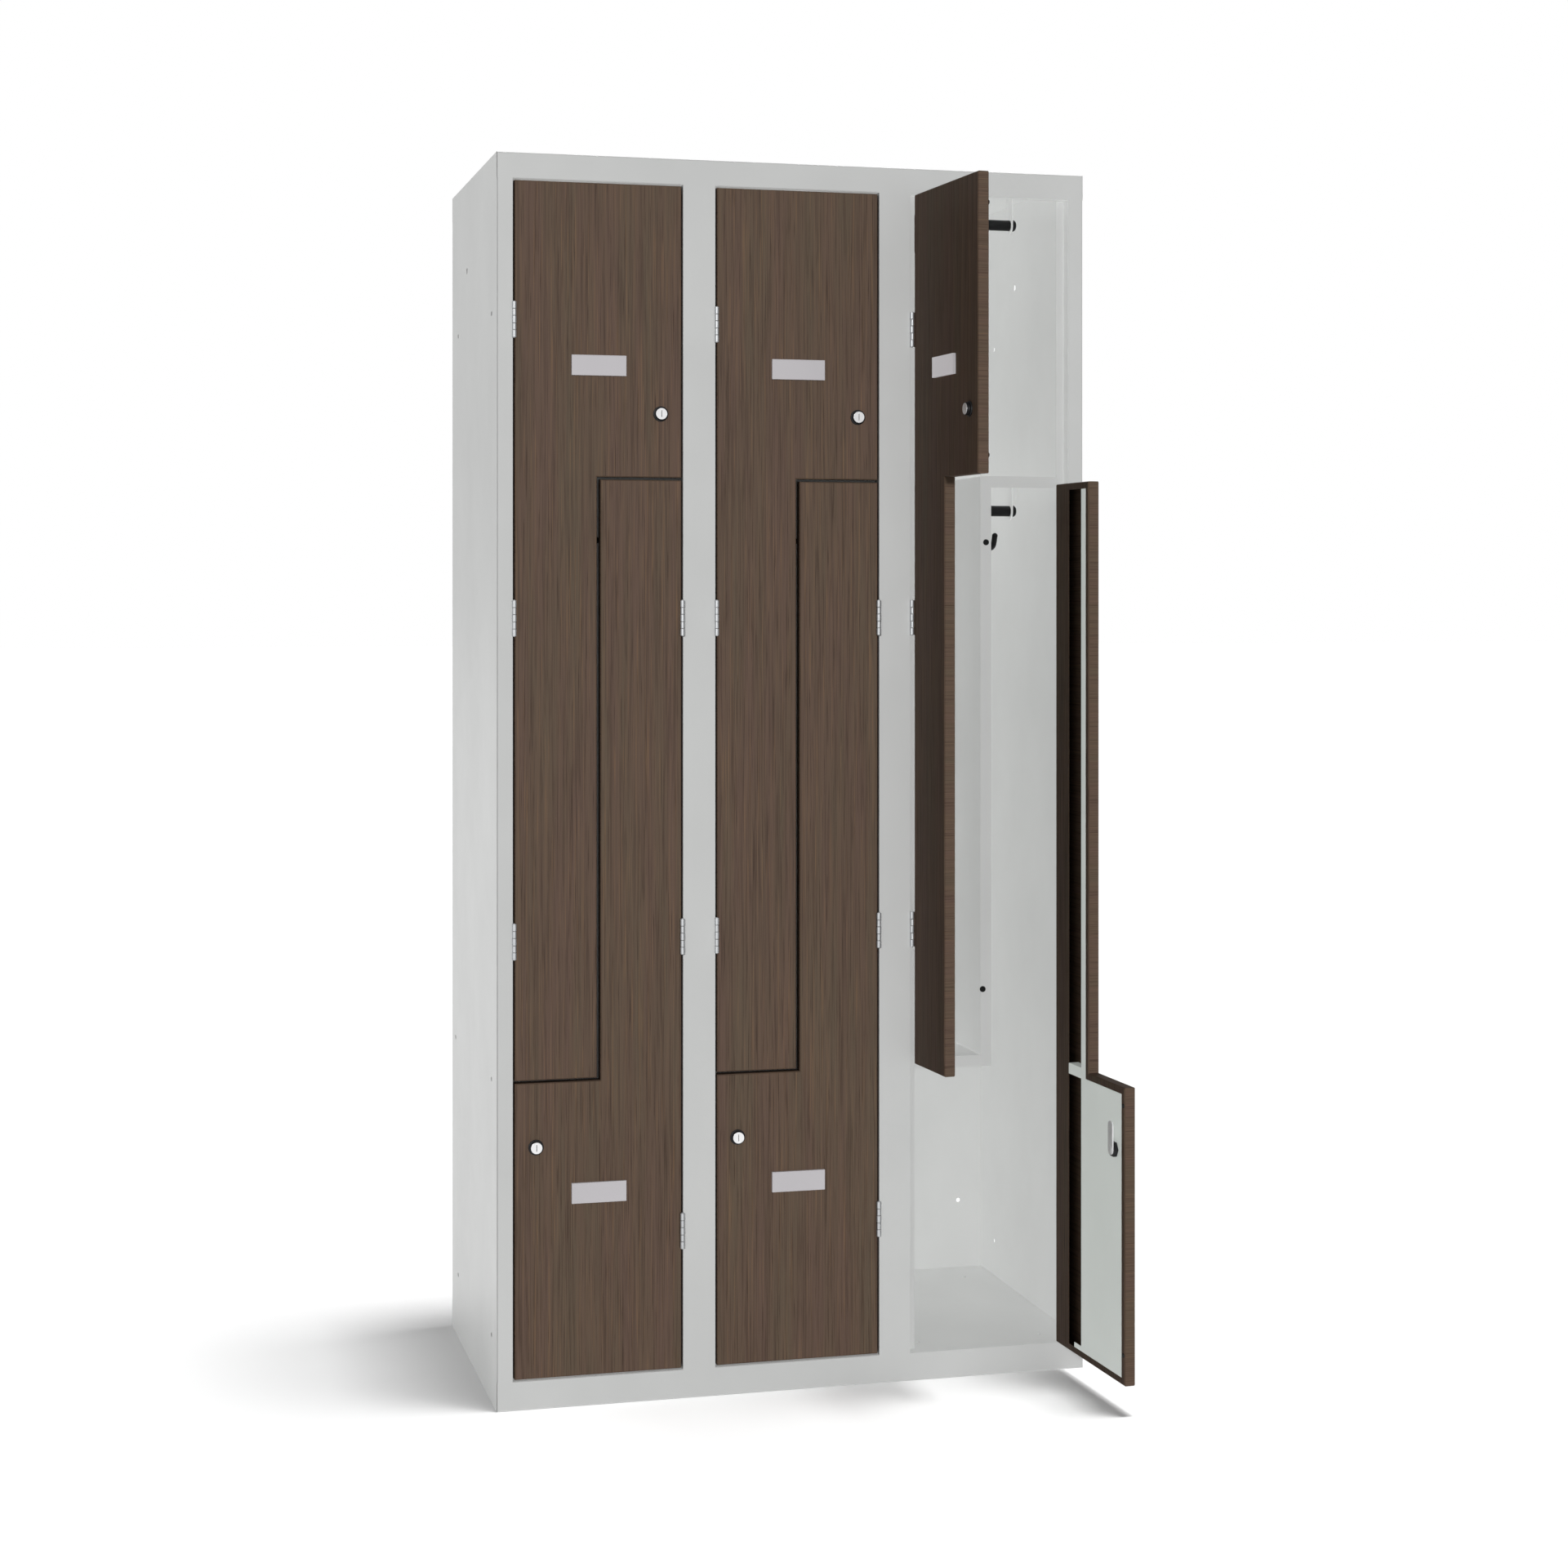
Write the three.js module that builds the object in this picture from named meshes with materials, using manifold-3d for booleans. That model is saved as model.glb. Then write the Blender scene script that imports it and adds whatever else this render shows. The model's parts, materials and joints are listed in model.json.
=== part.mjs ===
// A steel locker of three columns, each shut by two L-shaped doors that interlock in a Z.
// Millimetres, +Z up, +X to the right and +Y to the back as seen from the front.
// The origin lies on the floor, in the middle of the foot under the front rail.
// The third column stands open: its doors are built shut and then turned on their hinges.
import * as THREE from "three";
import { mergeVertices } from "three/addons/utils/BufferGeometryUtils.js";
import Module from "manifold-3d";

const wasm = await Module();
wasm.setup();

// Carcass
const WIDTH = 900;
const DEPTH = 480;
const HEIGHT = 1820;
const COLUMNS = 3;
const SHEET = 1;
const BEND = 2; // outer radius of every fold
const SEAT = 0.3; // gap left between pieces that touch
const OVERRUN = 5; // how far a cut runs past the material
const STILE = 24; // front stile folded from each side panel
const PILLAR = 49.5; // two partition stiles, side by side
const RETURN = 20; // front plane to the back of the door stop
const STOP = 12; // width of the door stop
const TOP_RAIL = 37.5;
const TOP_LIP = 10;
const BOTTOM_RAIL = 42;
const FOOT = 20; // fold that the front rail stands on
const REAR_FLANGE = 15; // of the side panels, behind the back panel

// Doors
const DOOR = 17; // thickness of the folded pan
const DOOR_EDGE = 1.5; // radius of its folded edges
const SIDE_GAP = 2.2;
const END_GAP = 2.5;
const ARM_GAP = 5.5; // between the two arms of a column
const STEP_GAP = 4; // between an arm's end and the other door's wide part
const WIDE_PART = 428; // height of a door's wide part
const LIP = 10;
const HINGE_LIP = 48;
const STIFFENER_STRIP = 16.25; // width of the stiffener behind the arm
const CROSS_TAB = 16;
const endTabShare = 0.55; // of the open slot between the hinge lip and the stiffener
const END_TAB_HEIGHT = 7;
const LABEL_WIDTH = 80;
const LABEL_HEIGHT = 29;
const LABEL_RISE = 162; // middle of the label holder from the door's step
const LABEL_PLATE = 2;
const LABEL_PROUD = 4.5; // of its two rails, between which a card slides
const LABEL_RAIL = 2.5;
const UPPER_OPEN = 86; // degrees, third column
const LOWER_OPEN = 93;

// Hinges
const HINGE = 52;
const KNUCKLES = 5;
const HINGE_INSET = 202; // middle of a hinge from the end of its door or of the other one
const BARREL_RADIUS = 2.8;
const PIN_RADIUS = 1.2;
const AXIS_OUT = 3.4; // hinge axis in front of the doors
const LEAF_DEPTH = 14;

// Locks
const LOCK_INSET = 31; // from the door's free edge
const LOCK_RISE = 93; // from the door's step
const COLLAR_RADIUS = 11;
const COLLAR = 2;
const LOCK_BODY_RADIUS = 8.2;
const NUT_RADIUS = 12;
const NUT = 6;
const PLUG_RADIUS = 9;
const PLUG_PROUD = 7.5;
const PLUG_EDGE = 1;
const SHAFT_RADIUS = 5.5;
const KEYWAY_LENGTH = 9;
const KEYWAY_WIDTH = 1.6;
const KEYWAY_DEPTH = 2.5;
const CAM_REACH = 41;
const CAM_RADIUS = 8;
const CAM = 2;

// Dividers
const DIVIDER_FLANGE = 17;
const SHELF_SHIFT = 2; // flange's middle from the middle of the step gap, away from the other shelf
const WALL_TAB = 24;
const WALL_TAB_LENGTH = 40;
const WALL_TAB_CORNER = 7;
const WALL_TAB_BACK = 167;

// Coat rails, their hooks and the bracket plates that carry them
const RAIL_RADIUS = 9; // end caps
const BAR_RADIUS = 8.5;
const RAIL_DROP = 45; // rail's axis below the sheet above it
const RAIL_INSET = 23; // rail's end from the wall
const CAP_LENGTH = 8;
const CAP_ROUND = 3;
const BRACKET = 2;
const BRACKET_RADIUS = 13;
const RING_RADIUS = 11.5;
const RING_WIDTH = 10;
const HOOK_REACH = 40;
const HOOK_DROP = 60;
const HOOK_RADIUS = 3.6;
const HOOK_TIP_RADIUS = 4.6;
const hookPathShares = [[0, -0.1], [0, -0.45], [-0.1, -0.8], [-0.42, -1], [-0.8, -0.93], [-1, -0.68]];
const upperHookShares = [1 / 3, 2 / 3];
const lowerHookShares = [0.56];

// Fixing holes, by their distance from the front, the floor or a wall
const FIXING_RADIUS = 4;
const JOIN_RADIUS = 5.5;
const FIXING_FRONT = 50;
const FIXING_BACK = 70;
const FIXING_LOW = 99;
const FIXING_HIGH = 229;
const SHELF_FIXING_BACK = 40;
const JOIN_BACK = 172;
const JOIN_TOP = 137;
const FLOOR_HOLE_RADIUS = 3;
const FLOOR_HOLE_WALL = 52;
const WALL_HOLE_INSET = 41;
const WALL_HOLE_RISE = 155;

// Facets of round forms
const BEND_STEPS = 2;
const BARREL_SIDES = 6;
const PIN_SIDES = 6;
const LOCK_SIDES = 12;
const RAIL_SIDES = 10;
const HOLE_SIDES = 6;
const HOOK_SIDES = 6;
const HOOK_STEPS = 6;
const CORNER_STEPS = 4;

// Derived planes and sizes
const LEFT = -WIDTH / 2;
const RIGHT = WIDTH / 2;
const FRONT = -FOOT / 2;
const BACK = FRONT + DEPTH;
const BACK_OUTER = BACK - SHEET - SEAT; // rear face of the back panel
const BACK_INNER = BACK_OUTER - SHEET - SEAT; // where the pieces inside end
const STOP_FRONT = RETURN - SHEET; // behind the front plane
const DOORWAY_LOW = BOTTOM_RAIL;
const DOORWAY_HIGH = HEIGHT - TOP_RAIL;
const DOORWAY_HEIGHT = DOORWAY_HIGH - DOORWAY_LOW;
const DOORWAY_MIDDLE = (DOORWAY_HIGH + DOORWAY_LOW) / 2;
const DOORWAY_WIDTH = (WIDTH - 2 * STILE - (COLUMNS - 1) * PILLAR) / COLUMNS;
const PITCH = DOORWAY_WIDTH + PILLAR;
const STEP_Z = DOORWAY_HEIGHT / 2 - END_GAP - WIDE_PART - STEP_GAP / 2; // middle of a step gap
const LEAF = (SIDE_GAP - 2 * SEAT) / 2;
const KNUCKLE = HINGE / KNUCKLES;
const HINGE_X = -DOORWAY_WIDTH / 2 + SIDE_GAP / 2;
const LOCK_X = DOORWAY_WIDTH / 2 - SIDE_GAP - LOCK_INSET;
const LOCK_Z = STEP_Z + STEP_GAP / 2 + LOCK_RISE;
const SHELF_Z = STEP_Z + SHELF_SHIFT + DIVIDER_FLANGE / 2; // upper face of the divider's upper shelf
const LOWER_SHELF_Z = -STEP_Z - SHELF_SHIFT + DIVIDER_FLANGE / 2;

const column = (index) => LEFT + STILE + DOORWAY_WIDTH / 2 + index * PITCH;
const seam = (index) => column(index) + PITCH / 2;

// Wall faces on either side of a column, from its middle
const PARTITION_FACE = PITCH / 2 - SEAT / 2 - SHEET;
const leftWall = (index) => (index === 0 ? LEFT + SHEET - column(0) : -PARTITION_FACE);
const rightWall = (index) => {
  return index === COLUMNS - 1 ? RIGHT - SHEET - column(index) : PARTITION_FACE;
};

// Materials
const finish = (color, roughness, metalness) =>
  new THREE.MeshStandardMaterial({ color, roughness, metalness });
const greySteel = finish(0xc6c7c6, 0.5, 0.2);
const woodDecor = finish(0x5c4c41, 0.55, 0);
const zinc = finish(0xb9bbbc, 0.35, 0.9);
const blackPlastic = finish(0x17171a, 0.45, 0);
const brightMetal = finish(0xd2d4d6, 0.2, 1);

// Closed solids from three.js geometries
function solid(geometry) {
  const bare = geometry.clone();
  bare.deleteAttribute("normal");
  bare.deleteAttribute("uv");
  const merged = mergeVertices(bare, 1e-4);
  const index = merged.index.array;
  const kept = [];
  for (let i = 0; i < index.length; i += 3) {
    const [a, b, c] = [index[i], index[i + 1], index[i + 2]];
    if (a !== b && b !== c && c !== a) kept.push(a, b, c);
  }
  return new wasm.Manifold(
    new wasm.Mesh({
      numProp: 3,
      vertProperties: new Float32Array(merged.attributes.position.array),
      triVerts: new Uint32Array(kept),
    }),
  );
}

const join = (first, ...others) => others.reduce((sum, next) => sum.add(next), first);
const cut = (first, ...others) => others.reduce((rest, next) => rest.subtract(next), first);

function box(x0, x1, y0, y1, z0, z1) {
  const geometry = new THREE.BoxGeometry(x1 - x0, y1 - y0, z1 - z0);
  return solid(geometry.translate((x0 + x1) / 2, (y0 + y1) / 2, (z0 + z1) / 2));
}

function outline(points) {
  return new THREE.Shape(points.map(([a, b]) => new THREE.Vector2(a, b)));
}

// A shape drawn in plan, standing from z0 to z1
function alongZ(shape, z0, z1) {
  const geometry = new THREE.ExtrudeGeometry(shape, { depth: z1 - z0, bevelEnabled: false });
  return solid(geometry.translate(0, 0, z0));
}

// A shape drawn as seen from the front, running from y0 back to y1
function alongY(shape, y0, y1, edge = 0) {
  const geometry = new THREE.ExtrudeGeometry(shape, {
    depth: y1 - y0 - 2 * edge,
    bevelEnabled: edge > 0,
    bevelThickness: edge,
    bevelSize: edge,
    bevelOffset: -edge,
    bevelSegments: 1,
    curveSegments: CORNER_STEPS,
  });
  return solid(geometry.rotateX(Math.PI / 2).translate(0, y1 - edge, 0));
}

// A shape drawn as seen from the right (y, z), running from x0 to x1
function alongX(shape, x0, x1) {
  const geometry = new THREE.ExtrudeGeometry(shape, { depth: x1 - x0, bevelEnabled: false });
  const turn = new THREE.Matrix4().makeBasis(
    new THREE.Vector3(0, 1, 0),
    new THREE.Vector3(0, 0, 1),
    new THREE.Vector3(1, 0, 0),
  );
  return solid(geometry.applyMatrix4(turn).translate(x0, 0, 0));
}

// Outline of a folded sheet of one thickness from its centre line, each fold rounded
function folded(path) {
  const radius = BEND - SHEET / 2;
  const left = [];
  const right = [];
  const add = (point, direction) => {
    const side = new THREE.Vector2(-direction.y, direction.x).multiplyScalar(SHEET / 2);
    left.push(point.clone().add(side));
    right.push(point.clone().sub(side));
  };
  const line = path.map(([a, b]) => new THREE.Vector2(a, b));
  const directions = line.slice(1).map((point, i) => point.clone().sub(line[i]).normalize());
  add(line[0], directions[0]);
  for (let i = 1; i < line.length - 1; i++) {
    const [before, after] = [directions[i - 1], directions[i]];
    const turn = Math.atan2(before.cross(after), before.dot(after));
    const start = line[i].clone().addScaledVector(before, -radius * Math.tan(Math.abs(turn) / 2));
    const inward = new THREE.Vector2(-before.y, before.x).multiplyScalar(Math.sign(turn) * radius);
    const centre = start.clone().add(inward);
    for (let k = 0; k <= BEND_STEPS; k++) {
      const angle = (turn * k) / BEND_STEPS;
      const point = start.clone().rotateAround(centre, angle);
      add(point, before.clone().rotateAround(new THREE.Vector2(), angle));
    }
  }
  add(line[line.length - 1], directions[directions.length - 1]);
  return new THREE.Shape(left.concat(right.reverse()));
}

// A turned form about the Y axis from (radius, y) points in order round the profile
function turned(profile, sides) {
  const points = profile.map(([r, y]) => new THREE.Vector2(r, y));
  if (THREE.ShapeUtils.area(points) < 0) points.reverse();
  const closed = points[0].x === 0 && points[points.length - 1].x === 0;
  if (!closed) points.push(points[0].clone());
  return solid(new THREE.LatheGeometry(points, sides));
}

const rod = (radius, y0, y1, sides) => turned([[0, y0], [radius, y0], [radius, y1], [0, y1]], sides);
const turnToX = (form) => form.rotate([0, 0, -90]);
const turnToZ = (form) => form.rotate([90, 0, 0]);

// Drills through a sheet
const drillX = (x, y, z, radius) =>
  turnToX(rod(radius, -OVERRUN, OVERRUN, HOLE_SIDES)).translate([x, y, z]);
const drillY = (x, y, z, radius) => rod(radius, -OVERRUN, OVERRUN, HOLE_SIDES).translate([x, y, z]);
const drillZ = (x, y, z, radius) =>
  turnToZ(rod(radius, -OVERRUN, OVERRUN, HOLE_SIDES)).translate([x, y, z]);

function mesh(name, form, material) {
  const data = form.getMesh();
  const geometry = new THREE.BufferGeometry();
  const positions = new Float32Array(data.numVert * 3);
  for (let i = 0; i < data.numVert; i++) {
    positions.set(data.vertProperties.subarray(i * data.numProp, i * data.numProp + 3), i * 3);
  }
  geometry.setAttribute("position", new THREE.BufferAttribute(positions, 3));
  geometry.setIndex(new THREE.BufferAttribute(data.triVerts, 1));
  geometry.computeVertexNormals();
  const piece = new THREE.Mesh(geometry, material);
  piece.name = name;
  return piece;
}

// Carcass
// Plan of a wall whose front is folded into a stile, a return and a door stop.
// The wall's outer face is at x = 0 and the stile runs towards +x.
function wallPlan(stile, ...rear) {
  const half = SHEET / 2;
  return [
    ...rear,
    [half, FRONT + half],
    [stile - half, FRONT + half],
    [stile - half, FRONT + RETURN - half],
    [stile + STOP, FRONT + RETURN - half],
  ];
}

const STILE_LOW = DOORWAY_LOW + SEAT;
const STILE_HIGH = DOORWAY_HIGH - SEAT;

function sidePanel() {
  const half = SHEET / 2;
  const flange = [[REAR_FLANGE, BACK - half], [half, BACK - half]];
  const folds = alongZ(folded(wallPlan(STILE, ...flange)), STILE_LOW, STILE_HIGH);
  const end = outline([[0, FRONT], [0, BACK], [SHEET, BACK], [SHEET, FRONT]]);
  const foot = alongZ(end, 0, STILE_LOW);
  const head = alongZ(end, STILE_HIGH, HEIGHT);
  const front = FRONT + FIXING_FRONT;
  const back = BACK - FIXING_BACK;
  const shelf = DOORWAY_MIDDLE + LOWER_SHELF_Z - DIVIDER_FLANGE / 2;
  const holes = [
    [front, FIXING_LOW, FIXING_RADIUS],
    [back, FIXING_LOW, FIXING_RADIUS],
    [front, HEIGHT - FIXING_HIGH, FIXING_RADIUS],
    [back, HEIGHT - FIXING_HIGH, FIXING_RADIUS],
    [front, shelf, FIXING_RADIUS],
    [BACK - SHELF_FIXING_BACK, shelf, FIXING_RADIUS],
    [BACK - JOIN_BACK, HEIGHT - JOIN_TOP, JOIN_RADIUS],
  ];
  const drilled = holes.map(([y, z, radius]) => drillX(0, y, z, radius));
  return cut(join(folds, foot, head), ...drilled);
}

// One of the two sheets of a partition, its outer face at x = 0
function partitionSheet() {
  const stile = PILLAR / 2 - SEAT / 2;
  const rear = [SHEET / 2, BACK_INNER];
  const folds = alongZ(folded(wallPlan(stile, rear)), STILE_LOW, STILE_HIGH);
  const underRoof = HEIGHT - SHEET - SEAT;
  const head = box(0, SHEET, FRONT + RETURN + SEAT, BACK_INNER, STILE_HIGH - SHEET, underRoof);
  return join(folds, head);
}

const mirrored = (form) => form.scale([-1, 1, 1]);

function backPanel() {
  const edge = RIGHT - SHEET - SEAT;
  const sheet = box(-edge, edge, BACK_OUTER - SHEET, BACK_OUTER, 0, HEIGHT);
  const x = RIGHT - SHEET - WALL_HOLE_INSET;
  const holes = [];
  for (const z of [WALL_HOLE_RISE, HEIGHT - WALL_HOLE_RISE]) {
    holes.push(drillY(x, BACK_OUTER, z, FIXING_RADIUS));
    holes.push(drillY(-x, BACK_OUTER, z, FIXING_RADIUS));
  }
  return cut(sheet, ...holes);
}

function topPanel() {
  const half = SHEET / 2;
  const section = [
    [FRONT + RETURN - half, DOORWAY_HIGH + TOP_LIP],
    [FRONT + RETURN - half, DOORWAY_HIGH + half],
    [FRONT + half, DOORWAY_HIGH + half],
    [FRONT + half, HEIGHT - half],
    [BACK_INNER, HEIGHT - half],
  ];
  const brackets = [];
  for (let i = 0; i < COLUMNS; i++) {
    for (const form of railBrackets(leftWall(i), rightWall(i), HEIGHT - SHEET)) {
      brackets.push(form.translate([column(i), FRONT, 0]));
    }
  }
  return join(alongX(folded(section), LEFT + SHEET + SEAT, RIGHT - SHEET - SEAT), ...brackets);
}

function basePanel() {
  const half = SHEET / 2;
  const section = [
    [FRONT + FOOT, half],
    [FRONT + half, half],
    [FRONT + half, BOTTOM_RAIL - half],
    [BACK_INNER - half, BOTTOM_RAIL - half],
    [BACK_INNER - half, 0],
  ];
  const tray = alongX(folded(section), LEFT + SHEET + SEAT, RIGHT - SHEET - SEAT);
  const holes = [];
  for (let i = 0; i < COLUMNS; i++) {
    for (const side of [-1, 1]) {
      const x = column(i) + side * (PITCH / 2 - SHEET - FLOOR_HOLE_WALL);
      holes.push(drillZ(x, FRONT + FIXING_FRONT, BOTTOM_RAIL, FLOOR_HOLE_RADIUS));
      holes.push(drillZ(x, BACK - FIXING_BACK, BOTTOM_RAIL, FLOOR_HOLE_RADIUS));
    }
  }
  return cut(tray, ...holes);
}

// Plates that carry a coat rail, hanging between two walls from the sheet above it
function railBrackets(left, right, sheetFace) {
  const [middle, axis] = [DEPTH / 2, sheetFace - RAIL_DROP];
  const shape = new THREE.Shape();
  shape.moveTo(middle - BRACKET_RADIUS, sheetFace + SHEET / 2);
  shape.lineTo(middle - BRACKET_RADIUS, axis);
  shape.absarc(middle, axis, BRACKET_RADIUS, Math.PI, 2 * Math.PI, false);
  shape.lineTo(middle + BRACKET_RADIUS, sheetFace + SHEET / 2);
  const inset = RAIL_INSET + CAP_LENGTH + SEAT;
  const hole = turnToX(rod(BAR_RADIUS + SEAT, left, right, RAIL_SIDES)).translate([0, middle, axis]);
  return [left + inset, right - inset - BRACKET].map((x) => {
    return cut(alongX(shape, x, x + BRACKET), hole);
  });
}

// Divider of one column, in the doorway's frame: x from its middle, y from its front plane,
// z from its middle. left and right are the wall faces on either side.
function divider(left, right) {
  const half = SHEET / 2;
  const upright = -DIVIDER_FLANGE / 2;
  const rear = BACK_INNER - SEAT - FRONT;
  const profile = [
    [left + SEAT, LOWER_SHELF_Z - half],
    [upright + half, LOWER_SHELF_Z - half],
    [upright + half, SHELF_Z - half],
    [right - SEAT, SHELF_Z - half],
  ];
  const stopLimit = DOORWAY_WIDTH / 2 - STOP - SEAT;
  const body = alongY(folded(profile), STOP_FRONT, rear);
  const clearance = RETURN + SEAT;
  const reach = DOORWAY_HEIGHT / 2;
  const leftNotch = box(left - OVERRUN, -stopLimit, -OVERRUN, clearance, -reach, reach);
  const rightNotch = box(stopLimit, right + OVERRUN, -OVERRUN, clearance, -reach, reach);
  const flange = (x0, x1, z0, z1) => box(x0, x1, STOP_FRONT, RETURN, z0, z1);
  const lower = LOWER_SHELF_Z - DIVIDER_FLANGE;
  const upper = SHELF_Z - DIVIDER_FLANGE;
  const upperFlange = flange(upright + BEND, stopLimit, upper, SHELF_Z);
  const standing = flange(upright, upright + DIVIDER_FLANGE, lower, SHELF_Z - BEND);
  const lowerFlange = flange(-stopLimit, upright + SHEET, lower, LOWER_SHELF_Z);
  return join(
    cut(body, leftNotch, rightNotch),
    upperFlange,
    standing,
    lowerFlange,
    wallTab(right - SEAT - SHEET, SHELF_Z),
    wallTab(left + SEAT, LOWER_SHELF_Z),
    ...railBrackets(upright + SHEET, right, SHELF_Z - SHEET),
  );
}

// Round-cornered tab that hangs from a shelf's end and is welded to the wall
function wallTab(x, shelf) {
  const middle = DEPTH - WALL_TAB_BACK;
  const [y0, y1] = [middle - WALL_TAB_LENGTH / 2, middle + WALL_TAB_LENGTH / 2];
  const [z0, z1] = [shelf - WALL_TAB, shelf - SHEET / 2];
  const r = WALL_TAB_CORNER;
  const shape = new THREE.Shape();
  shape.moveTo(y0, z1);
  shape.lineTo(y0, z0 + r);
  shape.absarc(y0 + r, z0 + r, r, Math.PI, 1.5 * Math.PI, false);
  shape.absarc(y1 - r, z0 + r, r, -Math.PI / 2, 0, false);
  shape.lineTo(y1, z1);
  const geometry = new THREE.ExtrudeGeometry(shape, {
    depth: SHEET,
    bevelEnabled: false,
    curveSegments: CORNER_STEPS,
  });
  const turn = new THREE.Matrix4().makeBasis(
    new THREE.Vector3(0, 1, 0),
    new THREE.Vector3(0, 0, 1),
    new THREE.Vector3(1, 0, 0),
  );
  return solid(geometry.applyMatrix4(turn).translate(x, 0, 0));
}

// Doors, in the doorway's frame, as the upper door of a column: hinged on the left, wide at the
// top, its arm hanging down beside the lower door's. The lower door is the same one half-turned.
const DOOR_LEFT = -DOORWAY_WIDTH / 2 + SIDE_GAP;
const DOOR_RIGHT = DOORWAY_WIDTH / 2 - SIDE_GAP;
const DOOR_TOP = DOORWAY_HEIGHT / 2 - END_GAP;
const DOOR_STEP = DOOR_TOP - WIDE_PART;
const DOOR_FOOT = STEP_GAP - DOOR_STEP;
const ARM_RIGHT = -ARM_GAP / 2;

// The door's L outline drawn in by one amount at the hinge side and another elsewhere
function doorOutline(hingeInset, inset) {
  return outline([
    [DOOR_LEFT + hingeInset, DOOR_TOP - inset],
    [DOOR_LEFT + hingeInset, DOOR_FOOT + inset],
    [ARM_RIGHT - inset, DOOR_FOOT + inset],
    [ARM_RIGHT - inset, DOOR_STEP + inset],
    [DOOR_RIGHT - inset, DOOR_STEP + inset],
    [DOOR_RIGHT - inset, DOOR_TOP - inset],
  ]);
}

const SLOT_LEFT = DOOR_LEFT + HINGE_LIP; // open slot beside the hinge lip
const SLOT_RIGHT = ARM_RIGHT - LIP - SEAT - STIFFENER_STRIP;

const hingeHeights = [DOOR_TOP - HINGE_INSET, -DOOR_FOOT - HINGE_INSET, DOOR_FOOT + HINGE_INSET];
const lockHole = (y) =>
  rod(LOCK_BODY_RADIUS + SEAT, -OVERRUN, OVERRUN, LOCK_SIDES).translate([LOCK_X, y, LOCK_Z]);

function doorSkin() {
  const pan = cut(
    alongY(doorOutline(0, 0), 0, DOOR, DOOR_EDGE),
    alongY(doorOutline(SHEET, SHEET), SHEET, DOOR - SHEET),
    alongY(doorOutline(HINGE_LIP, LIP), DOOR - OVERRUN, DOOR + OVERRUN),
    lockHole(0),
  );
  const leaves = hingeHeights.map((z) => doorLeaf().translate([HINGE_X, 0, z]));
  return join(pan, labelHolder(), ...leaves);
}

// Card holder on the door's face: a plate with a rail along its lower and its upper edge
function labelHolder() {
  const [x, z] = [LABEL_WIDTH / 2, DOOR_STEP + LABEL_RISE];
  const [low, high] = [z - LABEL_HEIGHT / 2, z + LABEL_HEIGHT / 2];
  return join(
    box(-x, x, -LABEL_PLATE, SHEET / 2, low, high),
    box(-x, x, -LABEL_PROUD, SHEET / 2, low, low + LABEL_RAIL),
    box(-x, x, -LABEL_PROUD, SHEET / 2, high - LABEL_RAIL, high),
  );
}

// Plate of a hinge leaf, its tabs reaching forward to the axis at every other knuckle
function leafPlate(x0, x1, firstTab, play) {
  const front = -AXIS_OUT + BARREL_RADIUS + SEAT;
  const points = [[LEAF_DEPTH, HINGE / 2], [LEAF_DEPTH, -HINGE / 2]];
  for (let i = 0; i < KNUCKLES; i++) {
    const tab = i % 2 === firstTab;
    const z = -HINGE / 2 + i * KNUCKLE;
    const inset = firstTab ? (tab ? play : -play) : 0;
    const low = i === 0 ? z : z + inset;
    const high = i === KNUCKLES - 1 ? z + KNUCKLE : z + KNUCKLE - inset;
    const y = tab ? -AXIS_OUT : front;
    points.push([y, low], [y, high]);
  }
  return alongX(outline(points), x0, x1);
}

// The door's half of a hinge: two knuckles on a leaf that lies on the door's edge
function doorLeaf() {
  const barrels = [1, 3].map((index) => {
    const z = -HINGE / 2 + index * KNUCKLE;
    return turnToZ(rod(BARREL_RADIUS, -z - KNUCKLE + SEAT, -z - SEAT, BARREL_SIDES));
  });
  const leafLeft = SIDE_GAP / 2 - LEAF;
  const leaf = leafPlate(leafLeft, SIDE_GAP / 2 + SHEET / 2, 1, SEAT);
  const bore = turnToZ(rod(PIN_RADIUS + SEAT, -HINGE, HINGE, PIN_SIDES));
  const moved = [...barrels, bore].map((form) => form.translate([0, -AXIS_OUT, 0]));
  return cut(join(leaf, moved[0], moved[1]), moved[2]);
}

// The fixed half of a hinge: three knuckles on the pin, and the leaf that runs through the gap
// beside the door to the stile's return
function hinge() {
  const profile = [[0, -HINGE / 2]];
  for (let i = 0; i < KNUCKLES; i++) {
    const radius = i % 2 ? PIN_RADIUS : BARREL_RADIUS;
    const z0 = -HINGE / 2 + i * KNUCKLE;
    profile.push([radius, z0], [radius, z0 + KNUCKLE]);
  }
  profile.push([0, HINGE / 2]);
  const pin = turnToZ(turned(profile, BARREL_SIDES)).translate([0, -AXIS_OUT, 0]);
  const leafLeft = -SIDE_GAP / 2 + SEAT;
  return join(pin, leafPlate(leafLeft, leafLeft + LEAF, 0, 0));
}

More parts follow.
